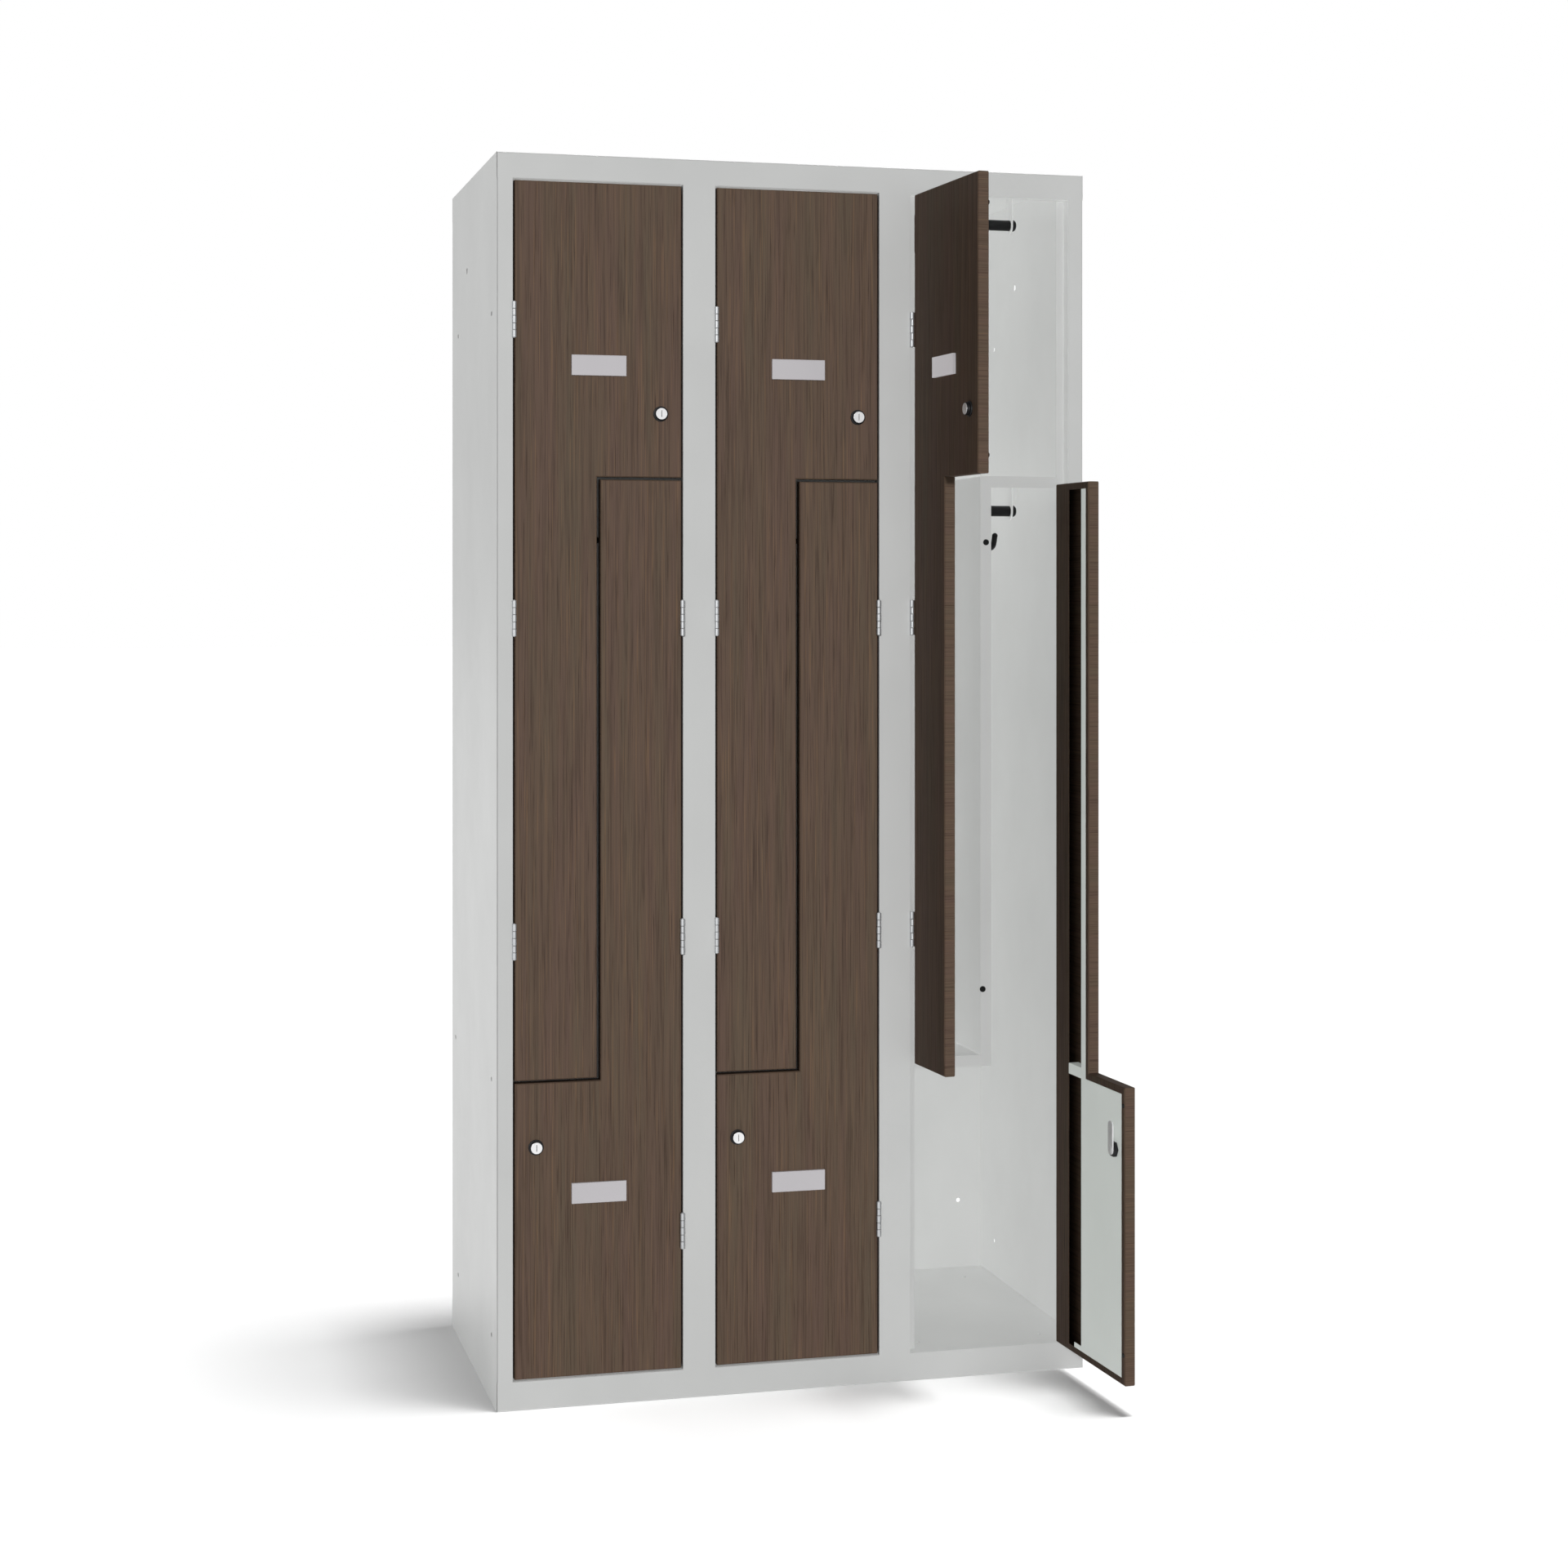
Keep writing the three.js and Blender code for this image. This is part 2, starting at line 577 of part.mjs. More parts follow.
// Grey steel tray behind the door's skin, with the flange that shows in the slot and the two
// tabs that cross it
function doorStiffener() {
  const inset = LIP + SEAT;
  const plate = alongY(doorOutline(SLOT_RIGHT - DOOR_LEFT, inset), DOOR - SHEET, DOOR);
  const seat = SHEET + SEAT;
  const right = SLOT_RIGHT + SHEET;
  const flange = box(SLOT_RIGHT, right, seat, DOOR, DOOR_FOOT + inset, DOOR_TOP - inset);
  const tabLeft = SLOT_LEFT + SEAT;
  const tabLow = DOOR_STEP - STEP_GAP;
  const cross = box(tabLeft, right, DOOR - SHEET, DOOR, tabLow, tabLow + CROSS_TAB);
  const crossFlange = box(tabLeft, right, seat, DOOR, tabLow, tabLow + SHEET);
  const endLeft = SLOT_RIGHT - endTabShare * (SLOT_RIGHT - SLOT_LEFT);
  const endLow = DOOR_TOP - inset - END_TAB_HEIGHT;
  const end = box(endLeft, right, DOOR - SHEET, DOOR, endLow, DOOR_TOP - inset);
  return cut(join(plate, flange, cross, crossFlange, end), lockHole(DOOR));
}

// Locks, about their own axis: y runs back from the door's front face
function lockHousing() {
  const rear = DOOR + SEAT + NUT;
  const profile = [
    [0, -SEAT - COLLAR],
    [COLLAR_RADIUS, -SEAT - COLLAR],
    [COLLAR_RADIUS, -SEAT],
    [LOCK_BODY_RADIUS, -SEAT],
    [LOCK_BODY_RADIUS, rear],
    [0, rear],
  ];
  const nut = rod(NUT_RADIUS, DOOR + SEAT, rear, 6);
  const bore = rod(SHAFT_RADIUS + SEAT, -OVERRUN - COLLAR, rear + OVERRUN, LOCK_SIDES);
  return cut(join(turned(profile, LOCK_SIDES), nut), bore);
}

// Plug and cam turn together; the cam points at the door's step where the lock is open
function lockPlug() {
  const collarFace = -SEAT - COLLAR;
  const camFront = DOOR + NUT + 2 * SEAT;
  const barrel = turned(
    [
      [0, -PLUG_PROUD],
      [PLUG_RADIUS - PLUG_EDGE, -PLUG_PROUD],
      [PLUG_RADIUS, PLUG_EDGE - PLUG_PROUD],
      [PLUG_RADIUS, collarFace - SEAT],
      [SHAFT_RADIUS, collarFace - SEAT],
      [SHAFT_RADIUS, camFront + CAM],
      [0, camFront + CAM],
    ],
    LOCK_SIDES,
  );
  const lever = new THREE.Shape();
  lever.absarc(0, 0, CAM_RADIUS, 0, Math.PI, false);
  lever.absarc(0, CAM_RADIUS - CAM_REACH, CAM_RADIUS, Math.PI, 2 * Math.PI, false);
  const cam = alongY(lever, camFront, camFront + CAM);
  const [halfWidth, halfLength] = [KEYWAY_WIDTH / 2, KEYWAY_LENGTH / 2];
  const keywayEnd = KEYWAY_DEPTH - PLUG_PROUD;
  const keyway = box(-halfWidth, halfWidth, -OVERRUN - PLUG_PROUD, keywayEnd, -halfLength, halfLength);
  return cut(join(barrel, cam), keyway);
}

// A coat rail along X, its axis at the origin, with capped ends and moulded hooks
function coatRail(length, hookShares) {
  const end = length / 2;
  const half = [
    [RAIL_RADIUS - CAP_ROUND, end],
    [RAIL_RADIUS, end - CAP_ROUND],
    [RAIL_RADIUS, end - CAP_LENGTH],
    [BAR_RADIUS, end - CAP_LENGTH],
  ];
  const mirror = half.map(([r, y]) => [r, -y]).reverse();
  const bar = turnToX(turned([[0, end], ...half, ...mirror, [0, -end]], RAIL_SIDES));
  const hooks = hookShares.map((share) => coatHook().translate([length * (share - 1 / 2), 0, 0]));
  return join(bar, ...hooks);
}

function coatHook() {
  const ring = turnToX(rod(RING_RADIUS, -RING_WIDTH / 2, RING_WIDTH / 2, RAIL_SIDES));
  const points = hookPathShares.map(
    ([y, z]) => new THREE.Vector3(0, y * HOOK_REACH, z * HOOK_DROP),
  );
  const section = new THREE.Shape();
  for (let i = 0; i < HOOK_SIDES; i++) {
    const angle = (2 * Math.PI * i) / HOOK_SIDES;
    const [a, b] = [HOOK_RADIUS * Math.cos(angle), HOOK_RADIUS * Math.sin(angle)];
    if (i) section.lineTo(a, b);
    else section.moveTo(a, b);
  }
  const stem = new THREE.ExtrudeGeometry(section, {
    steps: HOOK_STEPS,
    extrudePath: new THREE.CatmullRomCurve3(points),
  });
  const tip = points[points.length - 1];
  const ball = new THREE.SphereGeometry(HOOK_TIP_RADIUS, HOOK_SIDES, HOOK_SIDES / 2);
  return join(ring, solid(stem), solid(ball.translate(tip.x, tip.y, tip.z)));
}

// Assembly
const locker = new THREE.Group();

function place(name, form, material, x = 0, y = 0, z = 0, parent = locker) {
  const piece = mesh(name, form, material);
  piece.position.set(x, y, z);
  parent.add(piece);
}

place("left_side_panel", sidePanel(), greySteel, LEFT);
place("right_side_panel", mirrored(sidePanel()), greySteel, RIGHT);
place("back_panel", backPanel(), greySteel);
place("top_panel", topPanel(), greySteel);
place("base_panel", basePanel(), greySteel);
for (let i = 0; i < COLUMNS - 1; i++) {
  place(`partition_${i + 1}_left`, mirrored(partitionSheet()), greySteel, seam(i) - SEAT / 2);
  place(`partition_${i + 1}_right`, partitionSheet(), greySteel, seam(i) + SEAT / 2);
}

const forms = {
  skin: doorSkin(),
  stiffener: doorStiffener(),
  housing: lockHousing(),
  plug: lockPlug(),
  hinge: hinge(),
};

for (let i = 0; i < COLUMNS; i++) {
  const number = i + 1;
  const doorway = new THREE.Group();
  doorway.position.set(column(i), FRONT, DOORWAY_MIDDLE);
  locker.add(doorway);

  const [left, right] = [leftWall(i), rightWall(i)];
  place(`z_divider_${number}`, divider(left, right), greySteel, 0, 0, 0, doorway);
  addRail(doorway, `${number}_upper`, left, right, HEIGHT - SHEET - DOORWAY_MIDDLE, upperHookShares);
  const upright = SHEET - DIVIDER_FLANGE / 2;
  addRail(doorway, `${number}_lower`, upright, right, SHELF_Z - SHEET, lowerHookShares);

  const open = i === COLUMNS - 1;
  addDoor(doorway, `${number}_upper`, 0, open ? UPPER_OPEN : 0);
  addDoor(doorway, `${number}_lower`, Math.PI, open ? LOWER_OPEN : 0);
}

function addRail(doorway, label, left, right, sheetFace, hookShares) {
  const rail = coatRail(right - left - 2 * RAIL_INSET, hookShares);
  const [x, z] = [(left + right) / 2, sheetFace - RAIL_DROP];
  place(`coat_rail_${label}`, rail, blackPlastic, x, DEPTH / 2, z, doorway);
}

// A door with its hinges; halfTurn is 0 for the upper door and pi for the lower one
function addDoor(doorway, label, halfTurn, openDegrees) {
  const side = new THREE.Group();
  side.rotation.y = halfTurn;
  doorway.add(side);
  const order = halfTurn ? ["bottom", "lower", "upper"] : ["top", "upper", "lower"];
  hingeHeights.forEach((z, index) => {
    place(`hinge_${label}_${order[index]}`, forms.hinge, zinc, HINGE_X, 0, z, side);
  });
  const swing = new THREE.Group();
  swing.position.set(HINGE_X, -AXIS_OUT, 0);
  swing.rotation.z = -THREE.MathUtils.degToRad(openDegrees);
  side.add(swing);
  const put = (name, form, material, x, z) =>
    place(name, form, material, x - HINGE_X, AXIS_OUT, z, swing);
  put(`door_skin_${label}`, forms.skin, woodDecor, 0, 0);
  put(`door_stiffener_${label}`, forms.stiffener, greySteel, 0, 0);
  put(`lock_housing_${label}`, forms.housing, blackPlastic, LOCK_X, LOCK_Z);
  put(`lock_plug_${label}`, forms.plug, brightMetal, LOCK_X, LOCK_Z);
}

export default locker;
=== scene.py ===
import json
import math

import bpy
import numpy as np
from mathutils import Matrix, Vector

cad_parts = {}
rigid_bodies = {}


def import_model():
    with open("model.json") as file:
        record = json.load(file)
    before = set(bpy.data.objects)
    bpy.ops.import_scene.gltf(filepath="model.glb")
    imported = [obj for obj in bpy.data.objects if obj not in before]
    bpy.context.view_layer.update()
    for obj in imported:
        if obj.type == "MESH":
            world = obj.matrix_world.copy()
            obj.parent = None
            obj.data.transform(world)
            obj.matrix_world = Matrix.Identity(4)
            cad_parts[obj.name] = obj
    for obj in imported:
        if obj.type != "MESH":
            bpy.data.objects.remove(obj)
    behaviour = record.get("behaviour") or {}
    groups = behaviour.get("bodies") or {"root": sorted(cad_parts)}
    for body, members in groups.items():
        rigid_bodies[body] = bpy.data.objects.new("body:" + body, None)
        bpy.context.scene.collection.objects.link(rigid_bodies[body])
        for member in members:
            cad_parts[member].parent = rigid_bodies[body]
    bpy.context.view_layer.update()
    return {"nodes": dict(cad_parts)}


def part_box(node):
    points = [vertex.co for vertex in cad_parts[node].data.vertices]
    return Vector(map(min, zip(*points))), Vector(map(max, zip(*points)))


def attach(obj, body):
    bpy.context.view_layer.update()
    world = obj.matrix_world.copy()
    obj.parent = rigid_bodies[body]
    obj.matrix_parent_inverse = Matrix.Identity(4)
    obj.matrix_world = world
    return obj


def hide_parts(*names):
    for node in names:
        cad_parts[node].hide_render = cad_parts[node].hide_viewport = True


# A steel locker of three columns with wood-decor doors. Lengths are in millimetres up to the
# last step of each shape, which turns them into metres.

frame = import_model()
nodes = frame["nodes"]
MM = 0.001

# Doorway frame: x from a column's middle, y from the doors' front plane, z from the middle
COLUMNS = (-300.5, 0.0, 300.5)
FRONT = -10.0
MIDDLE = 912.25
HINGE_X = -124.4
AXIS_OUT = 3.4
LOCK_X = 92.3
LOCK_Z = 532.75
LABEL_Z = 601.75
HINGES = (665.75, 233.75, -233.75)
HINGE = 52.0
KNUCKLE = HINGE / 5
OPEN = {"upper": 86.0, "lower": 93.0}
DOORS = [(number, half) for number in (1, 2, 3) for half in ("upper", "lower")]
SHARP_ANGLE = 35
AXIS_ORDER = {"x": (1, 0, 2), "y": (0, 1, 2), "z": (0, 2, 1)}


# Shapes
def fillet(points, radius, steps, closed=True):
    """A polyline whose corners are arcs of so many steps: each arc touches both of its lines,
    and its centre lies one radius off them. radius is one number or one for each corner."""
    p = np.asarray(points, float)
    r = np.broadcast_to(np.asarray(radius, float), len(p)).copy()
    if not closed:
        r[[0, -1]] = 0
    before, after = p - np.roll(p, 1, 0), np.roll(p, -1, 0) - p
    before /= np.maximum(np.linalg.norm(before, axis=1, keepdims=True), 1e-9)
    after /= np.maximum(np.linalg.norm(after, axis=1, keepdims=True), 1e-9)
    turn = np.arctan2(before[:, 0] * after[:, 1] - before[:, 1] * after[:, 0],
                      (before * after).sum(1))
    turn[r == 0] = 0
    start = p - before * (r * np.tan(np.abs(turn) / 2))[:, None]
    left = np.stack([-before[:, 1], before[:, 0]], 1)
    centre = start + left * (r * np.sign(turn))[:, None]
    a = turn[:, None] * np.linspace(0, 1, steps + 1)
    d = (start - centre)[:, None]
    arc = centre[:, None] + np.stack([d[..., 0] * np.cos(a) - d[..., 1] * np.sin(a),
                                      d[..., 0] * np.sin(a) + d[..., 1] * np.cos(a)], -1)
    line = arc.reshape(-1, 2)
    gap = np.linalg.norm(line - np.roll(line, 1, 0), axis=1) > 1e-6
    gap[0] |= not closed
    return line[gap]


def circle(radius, sides):
    """Points at equal angles on a circle."""
    a = np.arange(sides) * 2 * np.pi / sides
    return np.stack([radius * np.cos(a), radius * np.sin(a)], 1)


def inset(outline, amount):
    """A closed outline moved inwards: each point goes along the mean of its two lines'
    normals, far enough that both lines move by the amount."""
    edge = np.roll(outline, -1, 0) - outline
    normal = np.stack([-edge[:, 1], edge[:, 0]], 1)
    normal /= np.linalg.norm(normal, axis=1, keepdims=True)
    mean = normal + np.roll(normal, 1, 0)
    mean /= (mean * normal).sum(1, keepdims=True)
    area = (outline[:, 0] * np.roll(outline[:, 1], -1)
            - outline[:, 1] * np.roll(outline[:, 0], -1)).sum()
    return outline + mean * amount * np.sign(area)


def shell(rings, wrap=False):
    """Rings of points joined in order into one closed skin. The ends are capped, or joined to
    each other where the rings go all the way round. It is turned outwards by its volume."""
    rings = np.asarray(rings, float)
    rows, around = rings.shape[:2]
    index = np.arange(rows * around).reshape(rows, around)
    a, b = (index, np.roll(index, -1, 0)) if wrap else (index[:-1], index[1:])
    quads = np.stack([a, np.roll(a, -1, 1), np.roll(b, -1, 1), b], -1).reshape(-1, 4)
    v = rings.reshape(-1, 3)
    middle = v.mean(0)
    q = v[quads] - middle
    volume = (np.cross(q[:, 0], q[:, 1]) * q[:, 2]).sum() + (
        np.cross(q[:, 0], q[:, 2]) * q[:, 3]).sum()
    faces = quads.tolist()
    if not wrap:
        caps = [index[0][::-1], index[-1]]
        c = [v[cap] - middle for cap in caps]
        volume += sum((np.cross(e[0], e[1:-1]) * e[2:]).sum() for e in c)
        faces += [cap.tolist() for cap in caps]
    if volume < 0:
        faces = [face[::-1] for face in faces]
    return v, faces


def turned(profile, sides=32, axis="y", wrap=False):
    """A profile of (radius, place along the axis) carried round the axis:
    (radius cos t, along, radius sin t)."""
    profile = np.asarray(profile, float)
    t = np.arange(sides) * 2 * np.pi / sides
    r, along = profile[:, :1], profile[:, 1:]
    ring = np.stack([r * np.cos(t), along + 0 * t, r * np.sin(t)], -1)
    return shell(ring[..., AXIS_ORDER[axis]], wrap)


def prism(outline, levels, axis="y"):
    """An outline carried along an axis, drawn in by an inset at each level of
    (inset, place along the axis)."""
    rings = []
    for amount, along in levels:
        flat = inset(outline, amount)
        rings.append(np.column_stack([flat[:, 0], np.full(len(flat), along), flat[:, 1]]))
    return shell(np.array(rings)[..., AXIS_ORDER[axis]])


def swept(path, radii, sides=16):
    """A round rod along a curve in the (y, z) plane: each point of the path carries a circle
    square to the curve there."""
    path = np.asarray(path, float)
    along = np.gradient(path, axis=0)
    along /= np.linalg.norm(along, axis=1, keepdims=True)
    normal = np.stack([-along[:, 1], along[:, 0]], 1)
    t = np.arange(sides) * 2 * np.pi / sides
    r = np.broadcast_to(np.asarray(radii, float), len(path))[:, None]
    flat = path[:, None] + r[..., None] * np.cos(t)[:, None] * normal[:, None]
    return shell(np.dstack([r * np.sin(t), flat]))


def smooth_path(points, steps):
    """A curve through points: between two of them it is a cubic whose slopes at its ends are
    half the way between each one's neighbours."""
    p = np.asarray(points, float)
    ends = np.vstack([2 * p[0] - p[1], p, 2 * p[-1] - p[-2]])
    t = np.linspace(0, 1, steps, endpoint=False)[:, None]
    a, b, c, d = (ends[i:len(ends) - 3 + i, None] for i in range(4))
    cubic = 0.5 * (2 * b + (c - a) * t + (2 * a - 5 * b + 4 * c - d) * t**2
                   + (3 * b - a - 3 * c + d) * t**3)
    return np.vstack([cubic.reshape(-1, 2), p[-1:]])


def moved(part, x, y, z):
    """The part set off from its place."""
    return part[0] + (x, y, z), part[1]


def turned_back(part):
    """The part half-turned about Z, so that it faces the back."""
    return part[0] * (-1, -1, 1), part[1]


def in_doorway(part, number, half, swing=True):
    """From the upper door's frame to the row's: swung open about the hinge axis, half-turned
    about Y for a lower door, and set in its column."""
    v, faces = part
    angle = math.radians(OPEN[half] if swing and number == 3 else 0)
    c, s = math.cos(-angle), math.sin(-angle)
    x, y = v[:, 0] - HINGE_X, v[:, 1] + AXIS_OUT
    v = np.stack([HINGE_X + x * c - y * s, x * s + y * c - AXIS_OUT, v[:, 2]], 1)
    if half == "lower":
        v = v * (-1, 1, -1)
    return v + (COLUMNS[number - 1], FRONT, MIDDLE), faces


def piece(name, parts, material, body, replaces=()):
    """One object from closed parts in row millimetres, its place in its mesh."""
    vertices, faces, first = [], [], 0
    for v, f in parts:
        vertices.append(v)
        faces += [[i + first for i in face] for face in f]
        first += len(v)
    mesh = bpy.data.meshes.new(name)
    mesh.from_pydata((np.vstack(vertices) * MM).tolist(), [], faces)
    mesh.polygons.foreach_set("use_smooth", np.ones(len(faces), bool))
    mesh.set_sharp_from_angle(angle=math.radians(SHARP_ANGLE))
    mesh.materials.append(material)
    thing = bpy.data.objects.new(name, mesh)
    bpy.context.scene.collection.objects.link(thing)
    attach(thing, body)
    thing.modifiers.new("even_normals", "WEIGHTED_NORMAL").keep_sharp = True
    if replaces:
        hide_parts(*replaces)
    return thing


# Finishes
def srgb(*values):
    """Linear colour of one given as it looks, from 0 to 255."""
    v = np.array(values) / 255
    return (*np.where(v <= 0.04045, v / 12.92, ((v + 0.055) / 1.055) ** 2.4), 1.0)


class Finish:
    """A material and short ways to add its nodes."""

    def __init__(self, name, color, roughness, metallic=0.0, specular=0.5):
        self.material = bpy.data.materials.new(name)
        self.material.use_nodes = True
        self.tree = self.material.node_tree
        self.shader = self.tree.nodes["Principled BSDF"]
        self.shader.inputs["Base Color"].default_value = color
        self.shader.inputs["Roughness"].default_value = roughness
        self.shader.inputs["Metallic"].default_value = metallic
        self.shader.inputs["Specular IOR Level"].default_value = specular

    def node(self, kind, inputs=None, **settings):
        """A node whose inputs are linked to sockets or set to values."""
        node = self.tree.nodes.new("ShaderNode" + kind)
        for key, value in settings.items():
            setattr(node, key, value)
        for key, value in (inputs or {}).items():
            if isinstance(value, bpy.types.NodeSocket):
                self.tree.links.new(value, node.inputs[key])
            else:
                node.inputs[key].default_value = value
        return node

    def place(self):
        return self.node("TexCoord").outputs["Object"]

    def stretched(self, place, size):
        """The place measured in cells of the given size, in metres."""
        scale = tuple(1 / s for s in size)
        return self.node("Mapping", {"Vector": place, "Scale": scale}).outputs[0]

    def noise(self, place, size, detail, roughness=0.5, distortion=0.0):
        inputs = {"Vector": self.stretched(place, size), "Scale": 1.0, "Detail": detail,
                  "Roughness": roughness, "Distortion": distortion}
        return self.node("TexNoise", inputs).outputs[0]

    def math(self, operation, *values):
        return self.node("Math", dict(enumerate(values)), operation=operation).outputs[0]

    def mix(self, factor, a, b):
        """Colour a where the factor is 0 and b where it is 1."""
        return self.node("Mix", {0: factor, 6: a, 7: b}, data_type="RGBA").outputs[2]

    def ramp(self, factor, *stops):
        """A colour that goes through stops of (place, colour)."""
        node = self.node("ValToRGB", {"Fac": factor})
        elements = node.color_ramp.elements
        while len(elements) < len(stops):
            elements.new(0.5)
        for element, (place, color) in zip(elements, stops):
            element.position = place
            element.color = color
        return node.outputs["Color"]

    def between(self, value, low, high):
        """The value's way from low to high, from 0 to 1."""
        inputs = {"Value": value, "From Min": low, "From Max": high}
        return self.node("MapRange", inputs).outputs["Result"]

    def color(self, socket):
        self.tree.links.new(socket, self.shader.inputs["Base Color"])

    def rough(self, socket):
        self.tree.links.new(socket, self.shader.inputs["Roughness"])

    def bump(self, height, depth, strength):
        inputs = {"Height": height, "Distance": depth, "Strength": strength}
        bump = self.node("Bump", inputs)
        self.tree.links.new(bump.outputs["Normal"], self.shader.inputs["Normal"])


def powder_coat(name, color, roughness=0.38):
    """Smooth powder coat: a fine orange-peel surface with slightly uneven gloss."""
    f = Finish(name, color, roughness)
    place = f.place()
    cloud = f.noise(place, (0.16, 0.16, 0.22), 3)
    darker = tuple(c * 0.965 for c in color[:3]) + (1,)
    lighter = tuple(c * 1.03 for c in color[:3]) + (1,)
    f.color(f.ramp(cloud, (0.3, darker), (0.7, lighter)))
    spread = f.node("MapRange", {"Value": f.noise(place, (0.04,) * 3, 2),
                                 "To Min": roughness - 0.04, "To Max": roughness + 0.05})
    f.rough(spread.outputs["Result"])
    f.bump(f.noise(place, (0.0022,) * 3, 2), 0.00008, 0.5)
    return f.material


WOOD = srgb(91, 75, 63)
WOOD_DARK = srgb(73, 58, 48)
WOOD_LIGHT = srgb(105, 86, 71)
WOOD_OLIVE = srgb(90, 77, 64)
WOOD_RED = srgb(93, 75, 65)
WOOD_PORE = srgb(53, 40, 32)
WOOD_THREAD = srgb(122, 96, 72)
# Cells of the wood's noises in metres: depth, width and length
TINT_CELL = (0.03, 0.022, 0.4)
STREAK_CELL = (0.02, 0.0022, 0.16)
LINE_CELL = (0.02, 0.0014, 0.09)
THREAD_CELL = (0.02, 0.0017, 0.15)
# Faces of a shut door within this reach of this place in y, in metres, are its pan's inside
PAN_MIDDLE = -0.002
PAN_REACH = 0.0075
# A face whose normal's y part is past this is the door's front or back
FACE_TILT = 0.6


def wood_decor(name, turn=0.0, hinge_x=0.0):
    """Printed wood decor: soft streaks up the door's face, and lines that run across its
    edges. turn undoes an open door's swing about its hinge, so that its pattern follows the
    door as it does on a shut one."""
    f = Finish(name, WOOD, 0.55, specular=0.07)
    c, s = math.cos(turn), math.sin(turn)
    px, py = hinge_x * MM, (FRONT - AXIS_OUT) * MM
    shift = (px - (c * px - s * py), py - (s * px + c * py), 0)
    coordinates = f.node("TexCoord").outputs
    place = f.node("Mapping", {"Vector": coordinates["Object"], "Rotation": (0, 0, turn),
                               "Location": shift}).outputs[0]
    facing = f.node("Mapping", {"Vector": coordinates["Normal"], "Rotation": (0, 0, turn)},
                    vector_type="VECTOR").outputs[0]
    parts = f.node("SeparateXYZ", {0: place}).outputs
    normal = f.node("SeparateXYZ", {0: facing}).outputs
    across = f.math("ABSOLUTE", normal[1])
    face = f.math("GREATER_THAN", across, FACE_TILT)
    off_middle = f.math("ABSOLUTE", f.math("SUBTRACT", parts[1], PAN_MIDDLE))
    behind = f.math("LESS_THAN", off_middle, PAN_REACH)
    inside = f.math("MULTIPLY", face, behind)
    upright = f.math("SUBTRACT", face, inside)

    def grain(size, detail, rough=0.5, distortion=0.0):
        """Streaks with their long side up on faces and across on edges and inside."""
        wide, fine, long = size
        up = f.noise(place, (fine, wide, long), detail, rough, distortion)
        flat = f.noise(place, (long, long, fine), detail, rough, distortion)
        return f.math("ADD", f.math("MULTIPLY", up, upright),
                      f.math("MULTIPLY", flat, f.math("SUBTRACT", 1.0, upright)))

    tint = grain(TINT_CELL, 2)
    streak = grain(STREAK_CELL, 3, 0.62, 0.1)
    line = grain(LINE_CELL, 2, 0.55)
    thread = grain(THREAD_CELL, 1)
    hue = f.ramp(tint, (0.34, WOOD_OLIVE), (0.5, WOOD), (0.66, WOOD_RED))
    dark = f.mix(f.between(streak, 0.5, 0.28), hue, WOOD_DARK)
    light = f.mix(f.math("MULTIPLY", f.between(streak, 0.5, 0.75), 0.6), dark, WOOD_LIGHT)
    threads = f.math("MULTIPLY", f.between(thread, 0.6, 0.74), 0.45)
    lit = f.mix(threads, light, WOOD_THREAD)
    pores = f.math("MULTIPLY", f.between(line, 0.42, 0.28), 0.7)
    f.color(f.mix(pores, lit, WOOD_PORE))
    spread = f.node("MapRange", {"Value": streak, "To Min": 0.48, "To Max": 0.64})
    f.rough(spread.outputs["Result"])
    f.bump(line, 0.00006, 0.35)
    return f.material


def brushed_metal(name, color, roughness, metallic, size):
    """Plated steel with fine drawn lines in cells of the given size, uneven in gloss."""
    f = Finish(name, color, roughness, metallic)
    place = f.place()
    drawn = f.noise(place, size, 3)
    dull = tuple(c * 0.86 for c in color[:3]) + (1,)
    f.color(f.mix(f.noise(place, (0.012,) * 3, 3), color, dull))
    spread = f.node("MapRange", {"Value": drawn, "To Min": roughness - 0.07,
                                 "To Max": roughness + 0.1})
    f.rough(spread.outputs["Result"])
    f.bump(drawn, 0.00003, 0.4)
    return f.material


def moulded(name, color, roughness):
    """Moulded plastic or rubber with a fine, even grain."""
    f = Finish(name, color, roughness, specular=0.25)
    place = f.place()
    lift = tuple(c * 1.35 + 0.002 for c in color[:3]) + (1,)
    f.color(f.mix(f.noise(place, (0.006,) * 3, 3), color, lift))
    spread = f.node("MapRange", {"Value": f.noise(place, (0.01,) * 3, 2),
                                 "To Min": roughness - 0.06, "To Max": roughness + 0.08})
    f.rough(spread.outputs["Result"])
    f.bump(f.noise(place, (0.0005,) * 3, 2), 0.00004, 0.5)
    return f.material


grey_coat = powder_coat("grey_powder_coat", srgb(194, 195, 194))
tray_coat = powder_coat("pale_powder_coat", srgb(192, 197, 193))
label_coat = powder_coat("label_grey", srgb(190, 187, 190), 0.32)
zinc = brushed_metal("zinc_plate", srgb(182, 184, 186), 0.45, 0.6, (0.0008, 0.0008, 0.012))
nickel = brushed_metal("nickel_plate", srgb(243, 243, 244), 0.3, 0.4, (0.001, 0.001, 0.001))
black = moulded("black_moulding", srgb(20, 20, 22), 0.42)
rubber = moulded("black_rubber", srgb(19, 19, 19), 0.55)
wood = {
    "shut": wood_decor("wood_decor"),
    "upper": wood_decor("wood_decor_upper_open", math.radians(OPEN["upper"]),
                        COLUMNS[2] + HINGE_X),
    "lower": wood_decor("wood_decor_lower_open", -math.radians(OPEN["lower"]),
                        COLUMNS[2] - HINGE_X),
}


def dress(name, material):
    """Gives a CAD node its material."""
    slots = nodes[name].data.materials
    if len(slots):
        slots[0] = material
    else:
        slots.append(material)


